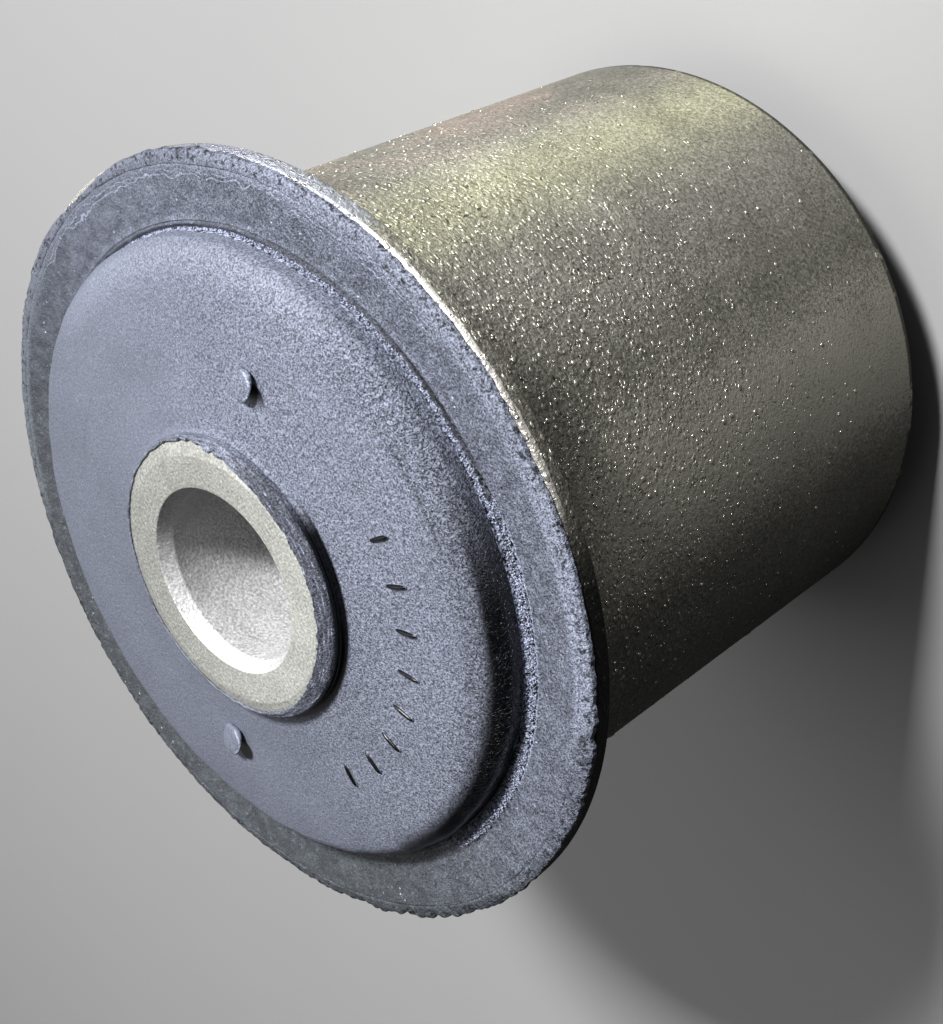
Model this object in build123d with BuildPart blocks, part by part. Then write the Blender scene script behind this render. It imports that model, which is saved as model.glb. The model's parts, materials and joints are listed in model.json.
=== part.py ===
from build123d import *
import os

# Flanged rubber metal bush, in millimetres.
# A plain steel tube sits on the axis of a flanged steel shell, and one rubber moulding fills the
# space between them and is bonded to both.  The rubber runs on over the front of the flange as a
# skin, rises inside it as a round thrust face, and ends in a thin lip round the tube.
# The bush stands on the back end of its tube: the axis is +Z and Z = 0 is that end face.
# Each piece is a body of revolution, drawn as a half section in the XZ plane (X is the radius).

# ---------------------------------------------------------------- driving dimensions

# steel tube
bore_diameter = 12.5          # clears an M12 bolt
tube_diameter = 20.0
tube_edge_width = 1.0         # flat deburring bevel on the outer edge, seen along the axis
tube_edge_drop = 0.3
bore_lead_width = 0.5         # lead-in of the bore, seen along the axis
bore_lead_depth = 1.15
back_stand = 4.2              # how far the tube stands out behind the shell

# flanged steel shell, drawn from sheet
shell_diameter = 47.0
shell_length = 45.0           # back end to the front of the flange
shell_wall = 1.5
flange_width = 4.5            # how far the flange stands out from the shell
bend_radius = 1.5             # inside of the bend, behind the flange
shell_lead_width = 0.5        # lead-in bevel on the back end, seen along the axis
shell_lead_depth = 0.8
rim_bevel = 0.3               # on both edges of the flange's rim

# rubber skin over the front of the flange
skin_thick = 0.6              # at its outer edge
skin_thin = 0.15              # at the foot of the thrust face
skin_margin = 1.0             # steel rim to the top edge of the skin
foot_width = 0.6              # level band of thin skin round the thrust face

# rubber thrust face
face_overlap = 0.6            # how far the face reaches out over the end of the shell's wall
face_height = 3.05            # front of the flange to the face, outside the root of the lip
face_fall = 0.45              # how much lower the face lies at its rim, before the shoulder

# rubber lip round the tube
lip_width = 0.25              # a thin film on the tube
lip_rise = 0.9                # stands this much above its root
lip_setback = 0.35            # ends this much short of the tube's front end
lip_bevel = 0.1
root_rise = 0.5               # the face climbs this much to the root of the lip
root_width = 4.0

# rubber at the back
back_film = 0.4               # rubber over the back end of the shell
groove_wall = 2.5             # rubber left on the tube and on the shell beside the groove
groove_depth = 9.5            # round groove that lets the rubber flex
groove_taper = 1.0            # how far each side closes in towards the floor
groove_edge = 0.6             # bevel at its mouth

# cut-off injection gates on the thrust face
gate_count = 2
gate_reach = 5.05             # tube to the middle of each gate
gate_angle = 133.2
gate_diameter = 1.1
gate_stub = 0.65              # how far each stub stands out of the face

# ---------------------------------------------------------------- derived places

bore_r = bore_diameter / 2
tube_r = tube_diameter / 2
lip_r = tube_r + lip_width
shell_r = shell_diameter / 2
shell_bore_r = shell_r - shell_wall
mid_wall_r = shell_r - shell_wall / 2
face_r = shell_bore_r + face_overlap
bend_r = shell_r + bend_radius
mid_bend_radius = bend_radius + shell_wall / 2
flange_r = shell_r + flange_width

shell_back = back_stand
film_back = shell_back - back_film
flange_front = shell_back + shell_length
flange_back = flange_front - shell_wall
mid_flange = flange_front - shell_wall / 2
bend_start = flange_back - bend_radius
face_top = flange_front + face_height
face_edge = face_top - face_fall
root_top = face_top + root_rise
root_r = lip_r + root_width
lip_top = root_top + lip_rise
tube_length = lip_top + lip_setback

shoulder_radius = face_edge - (flange_front + skin_thin)
face_slope = face_fall / (face_r - root_r)
groove_r = (tube_r + shell_bore_r) / 2
groove_width = shell_bore_r - tube_r - 2 * groove_wall
groove_floor = groove_width - 2 * groove_taper
groove_bevel = groove_floor / 3   # a bevel, a flat and a bevel share the floor
gate_r = tube_r + gate_reach
gate_top = face_top - face_slope * (gate_r - root_r) + gate_stub


def corner(sketch, radius, height):
    """The sketch's corner nearest to a place in the half section."""
    return sketch.vertices().sort_by_distance((radius, height))[0]


# ---------------------------------------------------------------- steel tube

with BuildPart() as inner_sleeve:
    with BuildSketch(Plane.XZ):
        with BuildLine():
            Polyline(
                (bore_r + bore_lead_width, 0),
                (tube_r - tube_edge_width, 0),
                (tube_r, tube_edge_drop),
                (tube_r, tube_length - tube_edge_drop),
                (tube_r - tube_edge_width, tube_length),
                (bore_r + bore_lead_width, tube_length),
                (bore_r, tube_length - bore_lead_depth),
                (bore_r, bore_lead_depth),
                close=True,
            )
        make_face()
    revolve(axis=Axis.Z)

# ---------------------------------------------------------------- flanged steel shell

with BuildPart() as outer_sleeve:
    with BuildSketch(Plane.XZ) as shell_section:
        with BuildLine():
            Polyline(
                (shell_bore_r, shell_back),
                (shell_r - shell_lead_width, shell_back),
                (shell_r, shell_back + shell_lead_depth),
                (shell_r, flange_back),
                (flange_r, flange_back),
                (flange_r, flange_front),
                (shell_bore_r, flange_front),
                close=True,
            )
        make_face()
        fillet(corner(shell_section, shell_r, flange_back), bend_radius)
        fillet(corner(shell_section, shell_bore_r, flange_front), bend_radius + shell_wall)
        chamfer(corner(shell_section, flange_r, flange_back), rim_bevel)
        chamfer(corner(shell_section, flange_r, flange_front), rim_bevel)
    revolve(axis=Axis.Z)

# ---------------------------------------------------------------- rubber moulding

# the groove at the back narrows towards its bottom, so that the moulding leaves the tool
with BuildSketch() as groove_section:
    Polygon(
        (-groove_width / 2, 0),
        (groove_width / 2, 0),
        (groove_floor / 2, groove_depth),
        (-groove_floor / 2, groove_depth),
        align=None,
    )
    chamfer(groove_section.vertices().group_by(Axis.Y)[-1], groove_bevel)

with BuildPart() as rubber_body:
    with BuildSketch(Plane.XZ) as rubber_section:
        # where the rubber is bonded to the shell, its outline runs in mid wall
        with BuildLine():
            outside = Polyline(
                (mid_wall_r, film_back),
                (tube_r, film_back),
                (tube_r, lip_top),
                (lip_r, lip_top),
                (lip_r, root_top),
                (root_r, face_top),
                (face_r, face_edge),
                (face_r, flange_front + skin_thin),
                (face_r + foot_width, flange_front + skin_thin),
                (flange_r - skin_margin, flange_front + skin_thick),
                (flange_r - rim_bevel, flange_front),
                (flange_r - rim_bevel, mid_flange),
                (bend_r, mid_flange),
            )
            in_bend = CenterArc((bend_r, bend_start), mid_bend_radius, 90, 90)
            Line(in_bend @ 1, outside @ 0)
        make_face()
        chamfer(corner(rubber_section, lip_r, lip_top), lip_bevel)
        fillet(corner(rubber_section, face_r, face_edge), shoulder_radius)
        # the shell takes its place in the moulding, so the rubber follows its bend and its wall
        add(shell_section.sketch_local, mode=Mode.SUBTRACT)
        with Locations((groove_r, film_back)):
            add(groove_section.sketch, mode=Mode.SUBTRACT)
        chamfer(corner(rubber_section, groove_r - groove_width / 2, film_back), groove_edge)
        chamfer(corner(rubber_section, groove_r + groove_width / 2, film_back), groove_edge)
    revolve(axis=Axis.Z)
    # stubs left where the gates broke off, rooted inside the thrust face
    with BuildSketch(Plane.XY.offset(flange_front)):
        with PolarLocations(gate_r, gate_count, start_angle=gate_angle):
            Circle(gate_diameter / 2)
    extrude(amount=gate_top - flange_front)

# ---------------------------------------------------------------- one STEP file for each piece

outer_sleeve.part.label = "outer_sleeve"
rubber_body.part.label = "rubber_body"
inner_sleeve.part.label = "inner_sleeve"

os.makedirs("parts", exist_ok=True)
export_step(outer_sleeve.part, "parts/outer_sleeve.step")
export_step(rubber_body.part, "parts/rubber_body.step")
export_step(inner_sleeve.part, "parts/inner_sleeve.step")
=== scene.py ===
import json
import math

import bpy
import numpy as np
from bpy.props import FloatProperty, FloatVectorProperty, IntProperty, PointerProperty
from mathutils import Matrix, Vector


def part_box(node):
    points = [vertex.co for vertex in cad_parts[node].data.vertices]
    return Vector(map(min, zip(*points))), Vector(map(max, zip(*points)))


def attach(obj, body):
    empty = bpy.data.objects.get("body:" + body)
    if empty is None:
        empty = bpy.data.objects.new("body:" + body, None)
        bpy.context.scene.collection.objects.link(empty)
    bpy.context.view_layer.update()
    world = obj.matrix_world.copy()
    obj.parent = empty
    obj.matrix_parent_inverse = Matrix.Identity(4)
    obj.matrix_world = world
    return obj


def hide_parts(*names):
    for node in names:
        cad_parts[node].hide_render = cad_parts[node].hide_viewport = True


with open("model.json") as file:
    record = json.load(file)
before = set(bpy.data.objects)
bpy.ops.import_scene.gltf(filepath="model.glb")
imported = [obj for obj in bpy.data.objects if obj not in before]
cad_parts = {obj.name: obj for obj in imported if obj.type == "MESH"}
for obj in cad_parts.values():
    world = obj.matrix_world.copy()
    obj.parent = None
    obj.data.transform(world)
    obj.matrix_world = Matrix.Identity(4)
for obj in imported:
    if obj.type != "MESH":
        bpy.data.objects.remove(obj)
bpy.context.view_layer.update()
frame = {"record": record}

bl_info = {
    "name": "Rubber metal bush",
    "version": (1, 0, 0),
    "blender": (4, 5, 0),
    "location": "3D View > Sidebar > Bush",
    "description": "Dresses a flanged rubber metal bush: steel tube, steel shell and rubber moulding",
    "category": "Add Mesh",
}

MM = 0.001
FULL_TURN = 2 * math.pi

# ---------------------------------------------------------------- sizes taken from the frame

def mount_radius(place):
    """Radius in metres of one of the record's mounts, by a word in its name."""
    for mount in frame["record"]["mounts"]:
        if place in mount["name"]:
            return mount["dims"]["r_mm"] * MM
    raise RuntimeError("the record has no mount named " + place)


_, TUBE_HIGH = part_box("inner_sleeve")
SHELL_LOW, SHELL_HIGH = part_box("outer_sleeve")
_, RUBBER_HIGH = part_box("rubber_body")
BORE_RADIUS = mount_radius("bore")
SHELL_RADIUS = mount_radius("shell")

# places that the rubber's finish shares with its mesh and its marks
GATES = 2
GATE_ANGLE = 133.2                  # degrees round the axis, of the first gate
GATE_REACH = 15.05 * MM
GATE_STUB_RADIUS = 1.05 * MM
LIP_RADIUS = 10.25 * MM
LIP_TOP = RUBBER_HIGH.z
TICK_RADIUS = 15.6 * MM
FACE_TOP = 52.25 * MM
FACE_RADIUS = 22.6 * MM
SKIN_EDGE = 27.0 * MM
BACK_FILM = 0.4                     # millimetres of rubber over the back end of the shell
SINK = 0.03                         # millimetres that the rubber runs into the steel

EDGE_ROUNDING = 0.12 * MM           # of the steel's sharp corners


# ---------------------------------------------------------------- settings a user would change

def length(name, description, default):
    """A size in metres, shown in the scene's unit."""
    return FloatProperty(
        name=name, description=description, default=default, subtype="DISTANCE", unit="LENGTH",
        precision=5, min=0,
    )


def colour(name, description, default):
    """A plain colour, without alpha."""
    return FloatVectorProperty(
        name=name, description=description, default=default, subtype="COLOR", size=3, min=0, max=1,
    )


def count(name, description, default, least=1):
    """A whole number of things or of steps."""
    return IntProperty(name=name, description=description, default=default, min=least)


def light(name, description, default, unit="POWER"):
    """The power of a lamp, or the level of the world's light."""
    return FloatProperty(name=name, description=description, default=default, unit=unit)


class TubeSettings(bpy.types.PropertyGroup):
    radius: length("Radius", "Outside of the steel tube", TUBE_HIGH.x)
    bore: length("Bore radius", "Hole through the tube", BORE_RADIUS)
    height: length("Length", "Back end to front end", TUBE_HIGH.z)
    edge_width: length("Edge width", "Deburring bevel on the outer edge", 1.0 * MM)
    edge_drop: length("Edge drop", "How far the deburring bevel falls", 0.3 * MM)
    lead_width: length("Lead width", "Lead-in of the bore, seen along the axis", 0.5 * MM)
    lead_depth: length("Lead depth", "Lead-in of the bore, along the axis", 1.15 * MM)
    steel: colour("Steel", "Dull grey of the tube's ends", (0.46, 0.465, 0.43))
    bore_steel: colour("Bore steel", "Cooler grey inside the bore", (0.55, 0.57, 0.585))


class ShellSettings(bpy.types.PropertyGroup):
    radius: length("Radius", "Outside of the steel shell", SHELL_RADIUS)
    flange: length("Flange radius", "Outside of the flange", SHELL_HIGH.x)
    back: length("Back", "Height of the back end", SHELL_LOW.z)
    front: length("Front", "Height of the front of the flange", SHELL_HIGH.z)
    wall: length("Wall", "Thickness of the sheet", 1.5 * MM)
    bend: length("Bend radius", "Inside of the bend behind the flange", 1.5 * MM)
    rim: length("Rim rounding", "Rounding on both edges of the rim", 0.28 * MM)
    lead_width: length("Lead width", "Lead-in bevel of the back end, seen along the axis", 0.5 * MM)
    lead_depth: length("Lead depth", "Lead-in bevel of the back end, along the axis", 0.8 * MM)
    phosphate: colour("Phosphate", "Dull olive coat of the shell", (0.17, 0.165, 0.14))


class RubberSettings(bpy.types.PropertyGroup):
    lip_radius: length("Lip radius", "Outside of the lip round the tube", LIP_RADIUS)
    lip_top: length("Lip top", "Height of the lip", LIP_TOP)
    root_top: length("Root top", "Height of the thrust face beside the lip", 52.75 * MM)
    root_radius: length("Root radius", "How far out the root of the lip spreads", 14.25 * MM)
    face_top: length("Face top", "Height of the thrust face outside the root", FACE_TOP)
    face_edge: length("Face edge", "Height of the thrust face at its rim", 51.8 * MM)
    face_radius: length("Face radius", "Outside of the thrust face", FACE_RADIUS)
    shoulder: length("Shoulder radius", "Rounding at the rim of the thrust face", 2.45 * MM)
    skin_edge: length("Skin edge", "Radius of the skin's top edge", SKIN_EDGE)
    skin_foot: length("Skin foot", "Radius where the skin meets the steel", 27.7 * MM)
    skin_thick: length("Skin thickness", "Rubber over the flange, at its outer edge", 0.6 * MM)
    skin_thin: length("Thin skin", "Rubber over the flange, at the foot of the face", 0.15 * MM)
    groove_depth: length("Groove depth", "Round groove in the back", 9.5 * MM)
    groove_width: length("Groove width", "Mouth of the round groove", 7.0 * MM)
    turns: count("Turns", "Steps round the moulding", 720, 48)
    rubber: colour("Rubber", "Blue-grey bloom of the rubber", (0.196, 0.212, 0.273))


class DetailSettings(bpy.types.PropertyGroup):
    beads: count("Oil beads", "Beads of dried oil on the shell", 3800)
    bead_size: length("Bead size", "Radius of the largest bead", 0.20 * MM)
    crumbs: count("Crumbs", "Rubber crumbs along the foot of the thrust face", 5200)
    crumb_size: length("Crumb size", "Radius of the largest crumb", 0.10 * MM)
    ticks: count("Ticks", "Plain moulded ticks on the face", 8, 2)
    tick_length: length("Tick length", "Length of each tick", 1.8 * MM)
    gates: count("Gates", "Stubs of the injection gates", GATES)
    gate_reach: length("Gate reach", "Axis to the middle of each gate", GATE_REACH)
    gate_size: length("Gate size", "Radius of each stub", GATE_STUB_RADIUS)


class StageSettings(bpy.types.PropertyGroup):
    floor: colour("Floor", "Pale floor", (0.45, 0.45, 0.45))
    dark_floor: colour("Dark floor", "The floor as the bush reflects it", (0.05, 0.05, 0.05))
    key: light("Key lamp", "Power of the key lamp", 3.2)
    sky: light("Sky lamp", "Broad soft lamp", 0.7)
    side: light("Side lamp", "Low soft lamp", 3.1)
    low: light("Low lamp", "Lowest soft lamp", 0.6)
    dome: light("Dome", "World's light on the bright side", 0.30, "NONE")
    shade: light("Shade", "World's light on the dark side", 0.015, "NONE")


# ---------------------------------------------------------------- node graphs

def joined(operation, swapped=False):
    """A method that joins a number with another one through a Math node."""
    def method(number, other):
        pair = (other, number) if swapped else (number, other)
        return number.sum(operation, *pair)
    return method


class Number:
    """A number in a node tree.  Sums written with it add Math nodes."""

    def __init__(self, graph, socket):
        self.graph = graph
        self.socket = socket

    def sum(self, operation, *parts):
        node = self.graph.node("ShaderNodeMath", {"operation": operation}, dict(enumerate(parts)))
        return Number(self.graph, node.outputs[0])

    __add__ = joined("ADD")
    __radd__ = joined("ADD", swapped=True)
    __sub__ = joined("SUBTRACT")
    __rsub__ = joined("SUBTRACT", swapped=True)
    __mul__ = joined("MULTIPLY")
    __rmul__ = joined("MULTIPLY", swapped=True)
    __truediv__ = joined("DIVIDE")
    __rtruediv__ = joined("DIVIDE", swapped=True)
    __pow__ = joined("POWER")
    at_most = joined("MINIMUM")
    at_least = joined("MAXIMUM")


class Graph:
    """Adds nodes to a material's tree or to a Geometry Nodes tree."""

    def __init__(self, tree):
        self.tree = tree

    def node(self, kind, settings=None, sockets=None):
        node = self.tree.nodes.new(kind)
        for name, value in (settings or {}).items():
            if name == "items":
                self.items(node, value)
            else:
                setattr(node, name, value)
        for key, value in (sockets or {}).items():
            self.feed(node.inputs[key], value)
        return node

    def number(self, kind, settings=None, sockets=None, out=0):
        return Number(self, self.node(kind, settings, sockets).outputs[out])

    def vector(self, x, y, z=0.0):
        return self.node("ShaderNodeCombineXYZ", None, {0: x, 1: y, 2: z})

    def parts(self, vector):
        """The three numbers of a vector."""
        outputs = self.node("ShaderNodeSeparateXYZ", None, {0: vector}).outputs
        return [Number(self, part) for part in outputs]

    def feed(self, socket, value):
        """Sets a socket, or links it to a number, a socket or a node's first output."""
        if isinstance(value, Number):
            value = value.socket
        if isinstance(value, bpy.types.Node):
            value = value.outputs[0]
        if isinstance(value, bpy.types.NodeSocket):
            self.tree.links.new(value, socket)
        else:
            socket.default_value = value

    @staticmethod
    def items(node, count):
        """Gives an Index Switch node as many inputs as it picks from."""
        collection = node.index_switch_items
        while len(collection) < count:
            collection.new()
        while len(collection) > count:
            collection.remove(collection[-1])

    def noise(self, place, size, detail=2.0, rough=0.5, warp=0.0, seed=0.0):
        """Noise from 0 to 1 whose patches are about `size` across, in the unit of the place."""
        return self.number("ShaderNodeTexNoise", {"noise_dimensions": "4D"}, {
            "Vector": place, "W": seed, "Scale": 1 / size, "Detail": detail, "Roughness": rough,
            "Distortion": warp,
        })

    def cells(self, place, size):
        """Distance to the nearest of many scattered points about `size` apart."""
        sockets = {"Vector": place, "Scale": 1 / size}
        return self.number("ShaderNodeTexVoronoi", None, sockets, "Distance")


def band(value, low, high, out_low=0.0, out_high=1.0):
    """Maps low to high smoothly on to out_low to out_high, and holds the ends."""
    return value.graph.number(
        "ShaderNodeMapRange", {"interpolation_type": "SMOOTHSTEP"},
        {0: value, 1: low, 2: high, 3: out_low, 4: out_high},
    )


def level(noise, low, high):
    """Maps the usual reach of a noise on to low to high."""
    return band(noise, 0.3, 0.7, low, high)


def between(value, low, high, fade):
    """1 between low and high, falling to 0 over the fade on each side."""
    return band(value, low - fade, low) * band(value, high + fade, high)


def ridge(value, middle, width):
    """1 where the value is at the middle, falling to 0 at one width from it."""
    off = value.sum("ABSOLUTE", value - middle)
    return band(off, width, 0.0)


def blend(amount, first, second):
    """Colour between first and second."""
    sockets = {0: amount, 6: first, 7: second}
    return amount.graph.node("ShaderNodeMix", {"data_type": "RGBA"}, sockets).outputs[2]


def rgba(colour, share=1.0):
    """A colour with alpha, made lighter or darker by a share."""
    return tuple(min(1.0, max(0.0, part * share)) for part in colour) + (1.0,)


def tinted(tone, tint, most=2.0):
    """A colour made lighter or darker by a number, up to `most` times as light."""
    return blend(tone / most, (0, 0, 0, 1), rgba(tint, most))


class Finish:
    """One procedural material, read on Object coordinates in metres."""

    def __init__(self, name):
        self.material = bpy.data.materials.new(name)
        self.material.use_nodes = True
        tree = self.material.node_tree
        tree.nodes.clear()
        self.graph = Graph(tree)
        self.output = self.graph.node("ShaderNodeOutputMaterial")
        self.place = self.graph.node("ShaderNodeTexCoord").outputs["Object"]
        self.x, self.y, self.height = self.graph.parts(self.place)
        self.radius = (self.x * self.x + self.y * self.y) ** 0.5
        self.degrees = self.y.sum("ARCTAN2", self.y, self.x) * math.degrees(1)

    def noise(self, size, *more, place=None):
        """Noise whose patches are about `size` millimetres across."""
        return self.graph.noise(self.place if place is None else place, size * MM, *more)

    def cells(self, size, place=None):
        """Distance to the nearest of many scattered points about `size` millimetres apart."""
        return self.graph.cells(self.place if place is None else place, size * MM)

    def side(self, middle):
        """1 on the side that lies at an angle in degrees, falling to -1 on the far side."""
        turn = math.radians(middle)
        return (self.x * math.cos(turn) + self.y * math.sin(turn)) / self.radius.at_least(MM)

    def arc(self, start, stop, fade):
        """1 between two angles in degrees, falling to 0 over the fade on each side."""
        return between(self.degrees, start, stop, fade)

    def shade(self, colour, roughness, heights=(), **constants):
        """Ends the material in a Principled shader with its bumps one upon another."""
        graph = self.graph
        surface = {"Base Color": colour, "Roughness": roughness}
        for height, distance, strength in heights:
            bump = {"Height": height, "Distance": distance, "Strength": strength}
            if "Normal" in surface:
                bump["Normal"] = surface["Normal"]
            surface["Normal"] = graph.node("ShaderNodeBump", None, bump)
        for name, value in constants.items():
            surface[name.replace("_", " ")] = value
        graph.feed(self.output.inputs[0], graph.node("ShaderNodeBsdfPrincipled", None, surface))
        return self.material


# ---------------------------------------------------------------- finishes

# colours that no setting changes
HIGHLIGHT_OLIVE = (0.215, 0.210, 0.145)
BROWN = (0.200, 0.170, 0.145)
GREEN_BLOOM = (0.196, 0.220, 0.240)
WORN_STEEL_AND_HIGHLIGHT = (0.56, 0.54, 0.50, 1)
THIN_FILM = (0.17, 0.185, 0.24, 1)
PAINTED_BEND_SHADE = (0.03, 0.03, 0.025, 1)
PAINTED_BACK_SHADE = (0.02, 0.02, 0.016, 1)
PAINTED_RIM_SHADE = (0.008, 0.008, 0.008, 1)


def tube_finish(settings):
    """Dull grey steel: a matt crystalline grain, faint turning arcs and a cooler bore, with painted
    light and shade on the end and in the bore.
    """
    finish = Finish("tube_steel_finish")
    radius, height = finish.radius, finish.height
    grain = finish.noise(0.20, 3.0, 0.65)
    flakes = finish.cells(0.26)
    patches = finish.noise(2.6, 3.0, 0.6, 0.5)
    # squeezed across and drawn out round the axis
    turned = finish.graph.vector(radius * 9.0, height * 9.0, finish.degrees * 0.00002)
    arcs = finish.noise(0.9, 2.0, 0.5, place=turned)
    in_bore = band(radius, settings.bore + 0.6 * MM, settings.bore + 0.45 * MM)
    on_end = 1 - in_bore

    tone = level(patches, 0.90, 1.08) * level(grain, 0.70, 1.36)
    tone = tone * (1 + on_end * (arcs - 0.5) * 0.40)
    flecks = band(finish.noise(0.34, 2.0, 0.6, 0.6, 5.0), 0.60, 0.68)
    tone = tone + flecks * 0.28
    # painted light and shade: a darker side high in the bore, a lighter lead-in on the other side, and
    # a brighter side of the end
    painted_end_light = 1.01 + finish.side(-135) * 0.17
    painted_bore_light = band(finish.side(140), -0.4, 0.9, 0.42, 1.18)
    lead_in = between(radius, settings.bore + 0.06 * MM, settings.bore + 0.5 * MM, 0.03 * MM)
    painted_bore_light = painted_bore_light + lead_in * band(finish.side(110), 0.2, 0.7) * 0.45
    mouth = ridge(radius, settings.bore + settings.lead_width, 0.09 * MM) * on_end
    tone = tone + mouth * 0.3
    end_steel = tinted(tone * painted_end_light, settings.steel)
    bore_steel = tinted(tone * painted_bore_light * 1.12, settings.bore_steel)
    colour = blend(in_bore, end_steel, bore_steel)
    roughness = level(grain, 0.36, 0.60)
    bumps = (
        (flakes, 0.03 * MM, 0.6 + in_bore * 0.4),
        (grain, 0.045 * MM, 1.0),
        (arcs, on_end * 0.02 * MM, 0.6),
    )
    return finish.shade(colour, roughness, bumps, Metallic=0.3)


def shell_finish(settings):
    """Olive phosphate over drawn steel: orange peel, pits, stains and a worn rim, with painted
    highlights and painted shade.
    """
    finish = Finish("shell_steel_finish")
    radius, height, degrees = finish.radius, finish.height, finish.degrees
    rim, front = settings.flange, settings.front
    rough_end = band(height, settings.back + 6 * MM, settings.front - 12 * MM)
    grain = finish.noise(0.20, 3.0, 0.7)
    peel = finish.noise(0.38, 3.0, 0.62)
    patches = finish.noise(8.0, 3.0, 0.6, 0.8)
    stains = finish.noise(3.0, 4.0, 0.65, 1.2)
    pits = band(finish.noise(0.50, 2.0, 0.5), 0.36, 0.30)
    pitted = band(stains, 0.40, 0.55) * rough_end
    # pale dashes painted as glints, longer round the shell than along it
    arc = degrees * (settings.radius * math.radians(1))
    dash_place = finish.graph.vector(height, arc * 0.6)
    thin_out = 0.60 - rough_end * 0.18
    scattered = band(finish.noise(0.9, 2.0, 0.6, place=dash_place), thin_out, thin_out + 0.05)
    dashes = band(finish.cells(0.42, dash_place), 0.36, 0.22)
    painted_glints = dashes * scattered

    tone = level(patches, 0.93, 1.07) * level(grain, 0.52, 1.50)
    tone = tone * level(peel, 0.76, 1.24)
    # painted light: the coat is lighter low on the shell round -110 degrees and away from the flange,
    # which shades the shell near it, and a painted highlight band lies round -52 degrees
    painted_low_light = ridge(degrees, -110.0, 22.0)
    painted_low_light = painted_low_light * band(height, front - 3 * MM, front - 12 * MM)
    painted_light_away = band(height, front - 5 * MM, front - 20 * MM)
    painted_shine_band = ridge(degrees, -52.0, 20.0)
    tone = tone * (0.93 + painted_light_away * (0.30 + painted_shine_band * 0.26) + painted_low_light * 2.5)
    # painted shade: the coat is darker from -34 degrees round to 180 degrees, beside the highlight band
    tone = tone * band(degrees, -46.0, -34.0, 1.0, 0.80)
    tone = tone * (1 - pits * pitted * 0.75) + painted_glints * 1.1
    highlight_olive = tinted(tone, HIGHLIGHT_OLIVE, 3.0)
    brown = tinted(tone, BROWN, 3.0)
    grey = tinted(tone, settings.phosphate, 3.0)
    # painted highlight: the coat turns olive along the band round -52 degrees where the shell's
    # highlight lies
    colour = blend(ridge(degrees, -52.0, 17.0) * 0.9, grey, highlight_olive)
    browned = band(height, front - 13 * MM, front - 6 * MM)
    browned = band(patches, 0.42, 0.62).at_least(browned)
    colour = blend(ridge(degrees, -24.0, 24.0) * browned, colour, brown)
    # a broken dark line along the back end: painted shade of the lead-in bevel
    back_shade_line = band(height, settings.back + 1.25 * MM, settings.back + 1.05 * MM)
    back_shade_line = back_shade_line * band(finish.noise(2.0, 2.0, 0.5), 0.36, 0.44)
    colour = blend(back_shade_line * 0.8, colour, PAINTED_BACK_SHADE)

    # bright worn corner at the front of the rim, partly a painted highlight where the edge faces the
    # light; painted shade on the rim's far side and in the bend
    side = band(radius, rim - 0.22 * MM, rim - 0.08 * MM)
    worn_line = front - 0.42 * MM + (stains - 0.5) * 0.7 * MM
    corner = side * band(height - worn_line, -0.04 * MM, 0.04 * MM)
    corner = corner * band(finish.noise(0.4, 3.0, 0.6), 0.30, 0.42)
    # elsewhere rubber film is left on the rim
    open_rim = finish.arc(-100.0, -57.0, 5.0) + finish.arc(-22.0, 8.0, 5.0)
    filmed = side * finish.arc(-57.0, -24.0, 5.0) * band(grain, 0.36, 0.52)
    corner = corner * open_rim
    flat_rim = band(radius, rim - 0.55 * MM, rim - 0.45 * MM)
    flat_rim = flat_rim * band(height, front - 0.06 * MM, front - 0.03 * MM)
    flat_open = finish.arc(-20.0, 14.0, 4.0) + finish.arc(-102.0, -84.0, 4.0)
    corner = corner.at_least(flat_rim * flat_open)
    # painted shade: the rim's side is near black on the far side, away from the light
    rim_shade = side * band(height, front - 1.40 * MM, front - 1.30 * MM)
    rim_shade = rim_shade * band(finish.side(-145), 0.68, 0.86)
    # painted shade in the bend behind the flange
    bend = band(height, front - 4.2 * MM, front - 3.0 * MM)
    bend = bend * band(radius, rim - 1.0 * MM, rim - 2.5 * MM)
    colour = blend(bend * 0.5, colour, PAINTED_BEND_SHADE)
    colour = blend(corner * (1 - rim_shade), colour, WORN_STEEL_AND_HIGHLIGHT)
    colour = blend(filmed * 0.8, colour, THIN_FILM)
    colour = blend(rim_shade * 0.95, colour, PAINTED_RIM_SHADE)

    roughness = level(patches, 0.44, 0.52) - painted_glints * 0.20
    bumps = (
        (peel, 0.14 * MM, 0.25 + rough_end * 0.75),
        (grain, 0.05 * MM, 1.0),
        (pits, pitted * -0.12 * MM, 1.0),
        (dashes, scattered * 0.08 * MM, 1.0),
    )
    return finish.shade(colour, roughness, bumps, Metallic=0.7)


def bead_finish(settings):
    """Dried oil and phosphate beads: a lighter, glossier version of the coat."""
    finish = Finish("oil_bead_finish")
    grain = finish.noise(0.5, 2.0, 0.6)
    colour = tinted(level(grain, 1.2, 2.8), settings.phosphate, 3.0)
    return finish.shade(colour, band(grain, 0.35, 0.65, 0.14, 0.30), (), Metallic=0.7)


def crumb_finish(settings):
    """Loose crumbs of bloomed rubber, lighter than the rubber: partly painted light, so that they read
    bright along the shaded foot.
    """
    finish = Finish("rubber_crumb_finish")
    grain = finish.noise(0.15, 2.0, 0.6)
    colour = tinted(band(grain, 0.4, 0.6, 0.9, 2.9), settings.rubber, 3.0)
    return finish.shade(colour, band(grain, 0.35, 0.65, 0.35, 0.5))


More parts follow.
